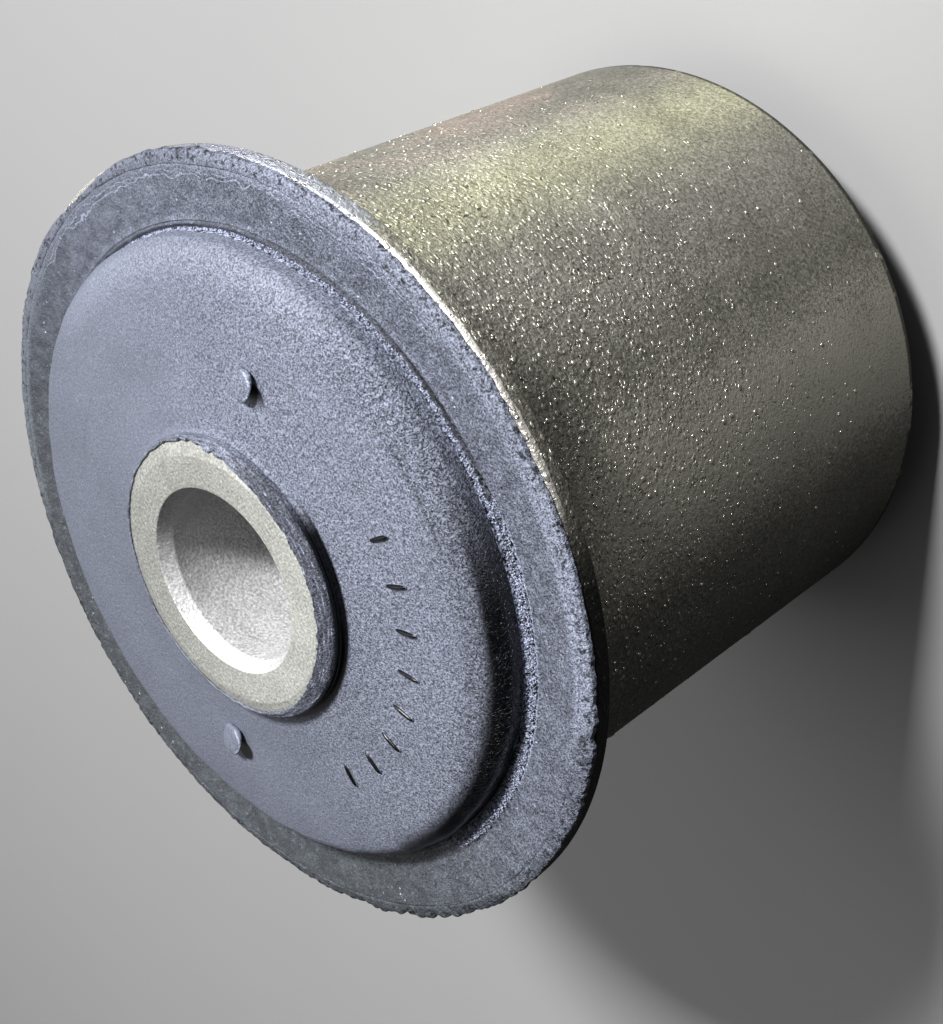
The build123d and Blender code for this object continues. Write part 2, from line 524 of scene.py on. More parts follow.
def rubber_finish(settings):
    """Moulded rubber with a blue-grey bloom and a leathery grain, with painted shade, sheen and light
    on it.
    """
    finish = Finish("rubber_finish")
    radius, height, degrees = finish.radius, finish.height, finish.degrees
    front = SHELL_HIGH.z
    lip_r, face, edge = LIP_RADIUS, FACE_RADIUS, SKIN_EDGE
    leather = finish.noise(0.26, 3.0, 0.66)
    fine = finish.noise(0.14, 2.0, 0.7)
    creased = finish.noise(0.42, 2.0, 0.6, 0.0, 2.0)
    around_lip = finish.graph.vector(radius, height, degrees * 0.02 * MM)
    streaks = finish.noise(0.16, 2.0, 0.6, place=around_lip)
    cloud = finish.noise(1.3, 4.0, 0.68, 0.5)
    patches = finish.noise(7.0, 3.0, 0.55, 0.5)

    # where on the moulding
    low_foot = band(height, front + 0.56 * MM, front + 0.44 * MM)
    low_foot = low_foot * band(radius, face - 0.15 * MM, face)
    skin = band(radius, face + 0.35 * MM, face + 0.6 * MM).at_least(low_foot)
    skin = skin * band(height, front - 0.3 * MM, front)
    shoulder = band(radius, 19.0 * MM, 21.3 * MM) * (1 - skin)
    far_side = band(finish.side(-140), 0.55, 0.92)
    wall_start = 20.35 * MM + band(degrees, -160.0, -100.0) * 0.9 * MM
    wall = band(radius - wall_start, 0.0, 1.0 * MM)
    wall = wall * band(height, front + 2.9 * MM, front + 2.3 * MM)
    lip_side = band(finish.side(-140), 0.42, 0.66)
    lip_top = band(radius, lip_r + 0.35 * MM, lip_r + 0.15 * MM)
    lip_top = lip_top * band(height, LIP_TOP - 0.35 * MM, LIP_TOP - 0.2 * MM)
    lip = band(radius, lip_r + 0.65 * MM, lip_r + 0.35 * MM)
    lip = lip * band(height, LIP_TOP - 0.1 * MM, LIP_TOP - 0.3 * MM)
    # painted shade: the shoulder's wall and the lip are darkened almost to black on the side away from
    # the light; the gates and ticks below add to it
    painted_shade = (wall * (1 - skin) * far_side + lip * lip_side).at_most(1)
    # a dark patch beside each gate, painted as the stub's shadow, and a pale edge on one side of its
    # stub
    stub_edge = 0.0
    for gate in range(GATES):
        turn = math.radians(GATE_ANGLE + 360 / GATES * gate)
        gate_x, gate_y = GATE_REACH * math.cos(turn), GATE_REACH * math.sin(turn)
        x = finish.x - (gate_x - 1.15 * MM)
        y = finish.y - (gate_y - 0.1 * MM)
        gate_shadow = band((x * x + y * y * 1.4) ** 0.5, 1.05 * MM, 0.75 * MM)
        painted_shade = painted_shade.at_least(gate_shadow * band(height, front + 3.2 * MM, front + 3.1 * MM))
        x, y = finish.x - gate_x, finish.y - gate_y
        rim = ridge((x * x + y * y) ** 0.5, 1.0 * MM, 0.12 * MM)
        facing = band(x * -0.6 + y * -0.8, 0.2 * MM, 0.7 * MM)
        stub_edge = rim * facing * band(height, front + 3.22 * MM, front + 3.3 * MM) + stub_edge
    # the raised ticks are darkened: painted shade standing for their shaded sides
    ticks = between(radius, TICK_RADIUS - 1.1 * MM, TICK_RADIUS + 1.1 * MM, 0.05 * MM)
    ticks = ticks * band(finish.side(-139), 0.68, 0.71)
    painted_shade = painted_shade.at_least(ticks * band(height, FACE_TOP + 0.085 * MM, FACE_TOP + 0.115 * MM))
    # band of rough skin along the foot, wider on the far side
    crest_width = 0.10 * MM + band(finish.side(-125), 0.78, 0.97) * 0.65 * MM
    crest = band(radius - (face + 0.25 * MM), crest_width + 0.12 * MM, crest_width) * low_foot
    crest = crest * band(finish.side(-85), -0.15, 0.35)
    crest_line = ridge(radius - crest_width, face + 0.38 * MM, 0.10 * MM) * far_side
    gutter_shade = ridge(radius, face + 0.55 * MM, 0.34 * MM) * finish.arc(-106.0, 4.0, 8.0) * skin
    # painted light: the skin's edge takes a tone by angle, lighter from -128 to -45 degrees and most
    # below -110, darker from -25 degrees on
    edge_band = band(radius, edge - 0.5 * MM, edge) * finish.arc(-128.0, 60.0, 8.0) * skin
    painted_edge_tone = band(degrees, -45.0, -25.0, 1.30, 0.85) + band(degrees, -90.0, -110.0) * 0.3

    # faint lines in the crown where the moulding folded
    wavy = radius + (leather - 0.5) * 0.9 * MM
    fold = ridge(wavy, 20.2 * MM, 0.22 * MM) * finish.arc(-100.0, -85.0, 4.0)
    loop = ridge(wavy, 16.9 * MM, 0.12 * MM) * finish.arc(24.0, 40.0, 4.0)
    lines = (fold + loop * 0.4).at_most(1)

    # how much bloom lies there
    grain = band(leather, 0.32, 0.62, 0.80, 1.12) * band(fine, 0.34, 0.66, 0.56, 1.46)
    # sharper on the near side, almost smooth on the left of the crown
    sharp = band(finish.side(-105), -0.5, 0.75, 0.40, 1.45)
    grain = 1 + (grain - 1) * sharp
    crinkled = shoulder * band(finish.side(-108), 0.50, 0.95)
    creases = ridge(creased, 0.50, 0.05)
    # painted shade: the creases of the crinkled shoulder are darkened
    grain = grain * (1 - creases * crinkled * 0.45)
    # painted sheen: the near side of the shoulder is made lighter
    painted_sheen = ridge(radius, 21.3 * MM, 1.7 * MM) * finish.arc(-92.0, 6.0, 14.0)
    grain = grain * (1 + painted_sheen * (1 - skin) * 0.26)
    sheen = band(finish.noise(0.17, 1.0, 0.5, 0.0, 3.0), 0.62, 0.72)
    grain = grain * (1 + sheen * 0.35)
    grain = grain * (1 + lip_top * band(streaks, 0.35, 0.65, -0.45, 0.25))
    crown_tone = level(patches, 0.95, 1.05)
    # painted light: the crown is lighter towards -y and darker towards +y
    crown_tone = crown_tone * band(finish.y, -16 * MM, 18 * MM, 1.06, 0.86)
    mottle = band(cloud, 0.34, 0.66, 0.70, 1.12)
    skin_tone = mottle * band(finish.side(105), -0.6, 0.6, 0.86, 0.43)
    tone = crown_tone + skin * (skin_tone - crown_tone)
    # the crest along the foot takes a lighter speckle: partly real speckle, partly painted light on the
    # raised crest
    rough = band(finish.noise(0.22, 2.0, 0.6, 0.4, 7.0), 0.42, 0.60, 0.0, 2.9)
    tone = tone + crest * (rough - tone)
    # painted shade darkens the gutter along the foot of the face, most past -78 degrees
    gutter_shade_depth = band(degrees, -62.0, -78.0, 0.62, 0.90)
    tone = tone * (1 - gutter_shade * gutter_shade_depth) + crest_line * skin * 0.8
    # pale curls of flash near the skin's edge, and a few pale crumbs
    drift = radius + (finish.noise(2.6, 2.0, 0.5, 0.6, 9.0) - 0.5) * 2.2 * MM
    curls = ridge(drift, edge - 0.55 * MM, 0.07 * MM) + ridge(drift, edge - 0.2 * MM, 0.06 * MM)
    curls = curls * finish.arc(-70.0, 14.0, 10.0) * skin
    dots = band(finish.cells(0.9), 0.10, 0.06)
    dots = dots * band(finish.noise(3.0, 1.0), 0.50, 0.56) * skin
    flecks = band(finish.noise(0.40, 2.0, 0.6, 0.5, 8.0), 0.58, 0.70) * skin
    tone = tone + curls + dots * 2.2 + flecks * 0.35 + stub_edge * 1.3
    # the film on the tube's end, with painted shade on its far side, and pale threads
    film = between(radius, lip_r - 1.35 * MM, lip_r + 0.1 * MM, 0.1 * MM)
    film = film * band(height, LIP_TOP - 0.65 * MM, LIP_TOP - 0.45 * MM)
    film = film * band(finish.side(-115), 0.2, 0.8)
    tone = tone * (1 - film * 0.5) + film * band(streaks, 0.60, 0.68) * 0.9
    chips = band(finish.noise(0.42, 3.0, 0.7), 0.40, 0.47)
    chipped = band(radius, edge - 0.1 * MM, edge + 0.5 * MM) * skin
    tone = tone + edge_band * (painted_edge_tone - tone) * 0.75
    tone = tone * (1 - chipped * (1 - chips) * 0.8)
    tone = tone * grain * (1 - lines * 0.45) * (1 - painted_shade * 0.98)
    green = skin * band(finish.side(110), -0.3, 0.7) * 0.8
    blue_bloom = tinted(tone, settings.rubber, 3.6)
    colour = blend(green, blue_bloom, tinted(tone, GREEN_BLOOM, 3.6))

    roughness = level(patches, 0.46, 0.54) + painted_shade * -0.22
    outside_painted_shade = 1 - painted_shade * 0.9
    leathery = (0.35 + sharp * 0.30 + crinkled * 1.5) * outside_painted_shade
    bumps = (
        (cloud, skin * 0.25 * MM, 0.8),
        (leather, leathery * 0.16 * MM, 1.0),
        (fine, sharp * outside_painted_shade * 0.06 * MM, 1.0),
        (creases, crinkled * -0.07 * MM, 1.0),
    )
    return finish.shade(colour, roughness, bumps, Specular_IOR_Level=0.35)


def floor_finish(settings):
    """Matt floor with a barely seen mottle: pale to the camera, dark to what stands on it."""
    finish = Finish("floor_finish")
    mottle = finish.noise(20, 3.0, 0.6)
    colour = blend(mottle, rgba(settings.floor, 0.98), rgba(settings.floor, 1.02))
    seen = finish.graph.number("ShaderNodeLightPath", out="Is Camera Ray")
    colour = blend(seen, rgba(settings.dark_floor), colour)
    return finish.shade(colour, 0.9)


# ---------------------------------------------------------------- turned pieces, by Geometry Nodes

class TurnedTree:
    """A Geometry Nodes tree that turns a closed half section of rounded corners round the axis."""

    # inputs that are plain numbers, not lengths
    plain = ()

    def __init__(self, name, sizes):
        self.tree = bpy.data.node_groups.new(name, "GeometryNodeTree")
        self.graph = Graph(self.tree)
        self.values = sizes
        face = self.tree.interface
        face.new_socket("Geometry", in_out="OUTPUT", socket_type="NodeSocketGeometry")
        self.keys = {}
        for size, value in sizes.items():
            whole = isinstance(value, int)
            kind = "NodeSocketInt" if whole else "NodeSocketFloat"
            socket = face.new_socket(size, in_out="INPUT", socket_type=kind)
            if not whole and size not in self.plain:
                socket.subtype = "DISTANCE"
            self.keys[size] = socket.identifier
        self.inputs = self.graph.node("NodeGroupInput")
        self.outputs = self.graph.node("NodeGroupOutput")

    def size(self, name):
        return Number(self.graph, self.inputs.outputs[name])

    def sizes(self, *names):
        return [self.size(name) for name in names]

    def turn(self, corners, material):
        """Ends the tree: corners are (radius, height, rounding), material is set on the result."""
        node = self.graph.node
        wheel, turns = self.sizes("Wheel radius", "Turns")
        index = node("GeometryNodeInputIndex")
        # a swept profile's own Y axis points down the bush
        places = [self.graph.vector(radius - wheel, 0 - height) for radius, height, _ in corners]
        roundings = [rounding for _, _, rounding in corners]
        place, rounding = (
            node(
                "GeometryNodeIndexSwitch", {"data_type": kind, "items": len(corners)},
                {0: index, **dict(enumerate(values, 1))},
            )
            for kind, values in (("VECTOR", places), ("FLOAT", roundings))
        )
        line = node("GeometryNodeMeshLine", None, {"Count": len(corners)})
        line = node("GeometryNodeSetPosition", None, {"Geometry": line, "Position": place})
        curve = node("GeometryNodeMeshToCurve", None, {"Mesh": line})
        curve = node("GeometryNodeSetSplineCyclic", None, {"Geometry": curve, "Cyclic": True})
        curve = node("GeometryNodeFilletCurve", {"mode": "POLY"}, {
            "Curve": curve, "Count": self.size("Rounding steps"), "Radius": rounding,
            "Limit Radius": True,
        })
        path = node(
            "GeometryNodeCurvePrimitiveCircle", {"mode": "RADIUS"},
            {"Resolution": turns, "Radius": wheel},
        )
        swept = node("GeometryNodeCurveToMesh", None, {"Curve": path, "Profile Curve": curve})
        return self.end(self.smooth(swept), material)

    def smooth(self, geometry):
        return self.graph.node("GeometryNodeSetShadeSmooth", None, {"Geometry": geometry})

    def end(self, geometry, material):
        node = self.graph.node
        plain = node("GeometryNodeRealizeInstances", None, {"Geometry": geometry})
        coated = node("GeometryNodeSetMaterial", None, {"Geometry": plain, "Material": material})
        self.graph.feed(self.outputs.inputs[0], coated)
        return self

    def mesh(self, name, even):
        """Evaluates the tree on an object and returns the plain mesh."""
        carrier = bpy.data.objects.new(name + "_tree", bpy.data.meshes.new(name + "_start"))
        bpy.context.scene.collection.objects.link(carrier)
        modifier = carrier.modifiers.new("Tree", "NODES")
        modifier.node_group = self.tree
        for size, key in self.keys.items():
            modifier[key] = self.values[size]
        if even:
            shading = carrier.modifiers.new("Even shading", "WEIGHTED_NORMAL")
            shading.weight = 50
        bpy.context.view_layer.update()
        evaluated = carrier.evaluated_get(bpy.context.evaluated_depsgraph_get())
        made = bpy.data.meshes.new_from_object(evaluated)
        made.name = name
        bpy.data.objects.remove(carrier)
        if not len(made.polygons):
            raise RuntimeError(name + " came out empty")
        return made

    def piece(self, name, material, slot, *nodes, even=False):
        """Places the tree's mesh as one piece, shaded evenly where flats meet roundings."""
        place_piece(self.mesh(name, even), name, material, slot, *nodes)


class LumpTree(TurnedTree):
    """A Geometry Nodes tree that sets small lumps round the axis."""

    def spots(self, turn, radius, height):
        """Points round the axis, with the two parts of the way out to each of them."""
        node = self.graph.node
        across, along = turn.sum("COSINE", turn), turn.sum("SINE", turn)
        place = self.graph.vector(radius * across, radius * along, height)
        line = node("GeometryNodeMeshLine", None, {"Count": self.size("Count")})
        points = node("GeometryNodeSetPosition", None, {"Geometry": line, "Position": place})
        return points, across, along

    def ball(self, segments, rings):
        sockets = {"Segments": segments, "Rings": rings, "Radius": 1.0}
        return self.graph.node("GeometryNodeMeshUVSphere", None, sockets)

    def copies(self, points, lump, facing, material, **more):
        """Ends the tree: sets one lump on every point."""
        sockets = {"Points": points, "Instance": self.smooth(lump), "Rotation": facing, **more}
        return self.end(self.graph.node("GeometryNodeInstanceOnPoints", None, sockets), material)


class StrewnTree(LumpTree):
    """A Geometry Nodes tree that strews small lumps over a band round the axis."""

    plain = ("From angle", "To angle", "Crowding", "Flatness")
    BEAD = (7, 4)                   # segments and rings
    MOSTLY_SMALL = 3.0              # the higher, the fewer large lumps
    LONG = (0.7, 1.4)               # length as a share of width

    def chance(self, low, high, seed):
        """A random number from low to high for each point."""
        sockets = {2: low, 3: high, 8: seed}
        return self.graph.number("FunctionNodeRandomValue", {"data_type": "FLOAT"}, sockets, 1)

    def strew(self, material, seed, grit=False):
        """Ends the tree: grit is turned anyhow, and beads face out from the surface."""
        node = self.graph.node
        low, high, smallest, largest = self.sizes("Low", "High", "Smallest", "Largest")
        turn = self.chance(*self.sizes("From angle", "To angle"), seed)
        share = self.chance(0.0, 1.0, seed + 1) ** self.size("Crowding")
        height = low + (high - low) * share
        radius = self.size("Radius") + self.chance(-1.0, 1.0, seed + 2) * self.size("Spread")
        points, across, along = self.spots(turn, radius, height)
        if grit:
            lump = node("GeometryNodeMeshIcoSphere", None, {"Radius": 1.0, "Subdivisions": 1})
            spin = node(
                "FunctionNodeRandomValue", {"data_type": "FLOAT_VECTOR"},
                {0: (0, 0, 0), 1: (FULL_TURN, FULL_TURN, FULL_TURN), 8: seed + 3},
            )
            facing = node("FunctionNodeEulerToRotation", None, {0: spin})
        else:
            lump = self.ball(*self.BEAD)
            outward = self.graph.vector(across, along)
            facing = node("FunctionNodeAlignRotationToVector", {"axis": "Z"}, {"Vector": outward})
        size = smallest + (largest - smallest) * self.chance(0.0, 1.0, seed + 4) ** self.MOSTLY_SMALL
        long = size * self.chance(*self.LONG, seed + 5)
        scale = self.graph.vector(long, size, size * self.size("Flatness"))
        return self.copies(points, lump, facing, material, Scale=scale)


class MarksTree(LumpTree):
    """A Geometry Nodes tree that sets equal rounded lumps at equal steps round the axis."""

    plain = ("First angle", "Step angle", "Lean")
    BALL = (32, 20)                 # segments and rings
    BLUNT = 0.62                    # 0 leaves the ball round

    def set_out(self, material):
        node, vector = self.graph.node, self.graph.vector
        first, step, lumps = self.sizes("First angle", "Step angle", "Lumps")
        turn = first + step * self.graph.number("GeometryNodeInputIndex")
        points, across, along = self.spots(turn, self.size("Radius"), self.size("Height"))
        up = vector(self.size("Lean"), 0.0, 1.0)
        facing = node(
            "FunctionNodeAxesToRotation", {"primary_axis": "Z", "secondary_axis": "X"},
            {0: up, 1: vector(across, along)},
        )
        spot = node("GeometryNodeInputPosition")
        x, y, z = self.graph.parts(spot)
        lumpy = self.graph.noise(spot, 0.9, 3.0, 0.6) - 0.5
        # a ball with blunt ends: its sections keep nearly their full size out to the tips
        section = (y * y + z * z) ** 0.5
        fuller = section.at_least(0.0001) ** -self.BLUNT
        shaped = vector(
            x * self.size("Long") + lumpy * lumps,
            y * fuller * self.size("Wide"),
            z * fuller * self.size("High") + lumpy * lumps,
        )
        ball = self.ball(*self.BALL)
        lump = node("GeometryNodeSetPosition", None, {"Geometry": ball, "Position": shaped})
        return self.copies(points, lump, facing, material)


# ---------------------------------------------------------------- meshes

def volume(points, triangles):
    """Signed volume of a closed mesh: positive when its faces point outwards."""
    a, b, c = points[triangles].transpose(1, 0, 2)
    return np.einsum("ij,ij->i", a, np.cross(b, c)).sum() / 6


def mesh_volume(mesh):
    """Signed volume of a Blender mesh."""
    mesh.calc_loop_triangles()
    points = np.empty(len(mesh.vertices) * 3)
    mesh.vertices.foreach_get("co", points)
    triangles = np.empty(len(mesh.loop_triangles) * 3, int)
    mesh.loop_triangles.foreach_get("vertices", triangles)
    return volume(points.reshape(-1, 3), triangles.reshape(-1, 3))


def place_piece(mesh, name, material, slot, *nodes):
    """Links a finished mesh at the origin, and lets it ride on the bush and stand for CAD nodes."""
    if mesh_volume(mesh) < 0:
        mesh.flip_normals()
    piece = bpy.data.objects.new(name, mesh)
    bpy.context.scene.collection.objects.link(piece)
    if not mesh.materials:
        mesh.materials.append(material)
    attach(piece, "root")
    if nodes:
        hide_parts(*nodes)
    return piece


def ring_grid(points, turns, relief):
    """Turns a closed profile round the axis, as a mesh of quads.

    points is an (n, 2) array of radius and height.  relief(radius, height, turn) is given the
    place of every grid point, and returns how far each is lifted and how far it is shifted out.
    """
    angle = np.arange(turns) * FULL_TURN / turns
    radius = np.repeat(points[:, :1], turns, 1)
    height = np.repeat(points[:, 1:], turns, 1)
    turn = np.repeat(angle[None, :], len(points), 0)
    lifted, shifted = relief(radius, height, turn)
    radius = radius + shifted
    height = height + lifted
    grid = np.stack((radius * np.cos(turn), radius * np.sin(turn), height), 2).reshape(-1, 3)
    rows = np.arange(len(points))[:, None]
    steps = np.arange(turns)[None, :]
    next_row = (rows + 1) % len(points)
    next_step = (steps + 1) % turns
    faces = np.stack(
        (rows * turns + steps, rows * turns + next_step,
         next_row * turns + next_step, next_row * turns + steps), 2,
    ).reshape(-1, 4)
    halves = np.concatenate((faces[:, (0, 1, 2)], faces[:, (0, 2, 3)]))
    if volume(grid, halves) < 0:
        faces = faces[:, ::-1]
    return grid, faces


def grid_mesh(name, points, faces):
    """A smooth-shaded mesh of quads."""
    mesh = bpy.data.meshes.new(name)
    mesh.vertices.add(len(points))
    mesh.vertices.foreach_set("co", points.astype(np.float32).ravel())
    mesh.loops.add(faces.size)
    mesh.loops.foreach_set("vertex_index", faces.astype(np.int32).ravel())
    mesh.polygons.add(len(faces))
    mesh.polygons.foreach_set("loop_start", np.arange(0, faces.size, 4, dtype=np.int32))
    mesh.update(calc_edges=True)
    mesh.polygons.foreach_set("use_smooth", np.ones(len(faces), bool))
    mesh.validate()
    return mesh


NEARLY_STRAIGHT = 0.02              # radians off a straight line that need no rounding
LONGEST_REACH = 0.49                # share of a side that one rounding may take up
WIDEST_STEP = math.radians(3.5)     # along a rounding
ROUNDING_STEP = 0.6                 # share of the corner's step


def rounded_profile(corners):
    """Closed profile with true arcs.  Each corner is (radius, height, rounding, step after it)."""
    count = len(corners)
    places = np.array([corner[:2] for corner in corners], float)
    arcs = []
    for number, (_, _, rounding, step) in enumerate(corners):
        here = places[number]
        back = places[number - 1] - here
        ahead = places[(number + 1) % count] - here
        back_length = np.linalg.norm(back)
        ahead_length = np.linalg.norm(ahead)
        back /= back_length
        ahead /= ahead_length
        half = math.acos(max(-1.0, min(1.0, float(back @ ahead)))) / 2
        if rounding <= 0 or half > math.pi / 2 - NEARLY_STRAIGHT:
            arcs.append(here[None, :])
            continue
        reach = min(rounding / math.tan(half), LONGEST_REACH * min(back_length, ahead_length))
        radius = reach * math.tan(half)
        middle = here + (back + ahead) / np.linalg.norm(back + ahead) * radius / math.sin(half)
        start = here + back * reach - middle
        end = here + ahead * reach - middle
        sweep = math.pi - 2 * half
        if start[0] * end[1] - start[1] * end[0] < 0:
            sweep = -sweep
        steps = math.ceil(abs(sweep) * radius / (ROUNDING_STEP * step))
        steps = max(3, min(steps, math.ceil(abs(sweep) / WIDEST_STEP)))
        turn = np.linspace(0, sweep, steps + 1)
        cos, sin = np.cos(turn), np.sin(turn)
        spun = (start[0] * cos - start[1] * sin, start[0] * sin + start[1] * cos)
        arcs.append(middle + np.stack(spun, 1))
    points = []
    for number, arc in enumerate(arcs):
        points.append(arc)
        gap_end = arcs[(number + 1) % count][0]
        gap = np.linalg.norm(gap_end - arc[-1])
        step = corners[number][3]
        parts = max(1, int(round(gap / step)))
        if parts > 1:
            share = np.arange(1, parts)[:, None] / parts
            points.append(arc[-1] * (1 - share) + gap_end * share)
    return np.concatenate(points)


def moulded(name, corners, turns, relief, material, *nodes):
    """Turns rounded corners in millimetres round the axis, and places the piece with its relief."""
    points, faces = ring_grid(rounded_profile(corners), turns, relief)
    mesh = grid_mesh(name, points * MM, faces)
    place_piece(mesh, name, material, "rubber", *nodes)


# ---------------------------------------------------------------- seeded noise round the axis

def eased(share):
    return share * share * (3 - 2 * share)


def smooth_step(value, low, high):
    """0 up to low, 1 from high on, and smooth between them."""
    return eased(np.clip((value - low) / (high - low), 0, 1))


def bump_at(value, middle, width):
    """1 at the middle, falling smoothly to 0 at one width from it."""
    return smooth_step(width - np.abs(value - middle), 0, width)


def around(angle, middle, width):
    """Like bump_at, for angles in degrees that wrap round."""
    off = np.abs((np.degrees(angle) - middle + 180) % 360 - 180)
    return smooth_step(width - off, 0, width)


def ring_noise(seed, waves, angle):
    """Noise from -1 to 1 that closes on itself after a full turn."""
    values = np.random.default_rng(seed).uniform(-1, 1, waves)
    place = (angle / FULL_TURN % 1) * waves
    low = np.floor(place).astype(int)
    share = eased(place - low)
    return values[low % waves] * (1 - share) + values[(low + 1) % waves] * share


def sheet_noise(seed, waves, size, angle, across):
    """Noise from -1 to 1 round the axis and across it; patches are `size` high."""
    low_edge = float(across.min())
    rows = int((float(across.max()) - low_edge) / size) + 3
    values = np.random.default_rng(seed).uniform(-1, 1, (rows, waves))
    place = (angle / FULL_TURN % 1) * waves
    row = (across - low_edge) / size
    low, low_row = np.floor(place).astype(int), np.floor(row).astype(int)
    share, share_row = eased(place - low), eased(row - low_row)
    below, above = (
        values[beside, low % waves] * (1 - share) + values[beside, (low + 1) % waves] * share
        for beside in (low_row, low_row + 1)
    )
    return below * (1 - share_row) + above * share_row


# ---------------------------------------------------------------- operators

class BUSH_OT_tube(bpy.types.Operator):
    """Turns the steel tube, with its lead-in and deburred edges"""

    bl_idname = "bush.tube"
    bl_label = "Steel tube"

    def execute(self, context):
        settings = context.scene.bush_tube
        tree = TurnedTree("Turned tube", {
            "Bore radius": settings.bore,
            "Tube radius": settings.radius,
            "Length": settings.height,
            "Edge width": settings.edge_width,
            "Edge drop": settings.edge_drop,
            "Lead width": settings.lead_width,
            "Lead depth": settings.lead_depth,
            "Edge rounding": EDGE_ROUNDING,
            "Wheel radius": (settings.bore + settings.radius) / 2,
            "Rounding steps": 5,
            "Turns": 240,
        })
        bore, outside, top = tree.sizes("Bore radius", "Tube radius", "Length")
        drop, depth, round_off = tree.sizes("Edge drop", "Lead depth", "Edge rounding")
        mouth = bore + tree.size("Lead width")
        shoulder = outside - tree.size("Edge width")
        corners = (
            (mouth, 0.0, round_off),
            (shoulder, 0.0, round_off),
            (outside, drop, round_off),
            (outside, top - drop, round_off),
            (shoulder, top, round_off),
            (mouth, top, round_off),
            (bore, top - depth, round_off),
            (bore, depth, round_off),
        )
        material = tube_finish(settings)
        tree.turn(corners, material)
        tree.piece("tube", material, "tube_steel", "inner_sleeve", even=True)
        return {"FINISHED"}


class BUSH_OT_shell(bpy.types.Operator):
    """Turns the flanged steel shell, with its bend, rim and lead-in"""

    bl_idname = "bush.shell"
    bl_label = "Steel shell"

    def execute(self, context):
        settings = context.scene.bush_shell
        tree = TurnedTree("Turned shell", {
            "Shell radius": settings.radius,
            "Flange radius": settings.flange,
            "Back": settings.back,
            "Front": settings.front,
            "Wall": settings.wall,
            "Bend radius": settings.bend,
            "Rim rounding": settings.rim,
            "Lead width": settings.lead_width,
            "Lead depth": settings.lead_depth,
            "Edge rounding": EDGE_ROUNDING,
            "Wheel radius": settings.radius,
            "Rounding steps": 8,
            "Turns": 360,
        })
        outside, flange, back, front = tree.sizes("Shell radius", "Flange radius", "Back", "Front")
        wall, bend, rim, round_off = tree.sizes("Wall", "Bend radius", "Rim rounding", "Edge rounding")
        lead_width, lead_depth = tree.sizes("Lead width", "Lead depth")
        inside = outside - wall
        corners = (
            (inside, back, round_off),
            (outside - lead_width, back, round_off),
            (outside, back + lead_depth, round_off),
            (outside, front - wall, bend),
            (flange, front - wall, rim),
            (flange, front, rim),
            (inside, front, bend + wall),
        )
        material = shell_finish(settings)
        tree.turn(corners, material)
        tree.piece("shell", material, "shell_steel", "outer_sleeve", even=True)
        return {"FINISHED"}


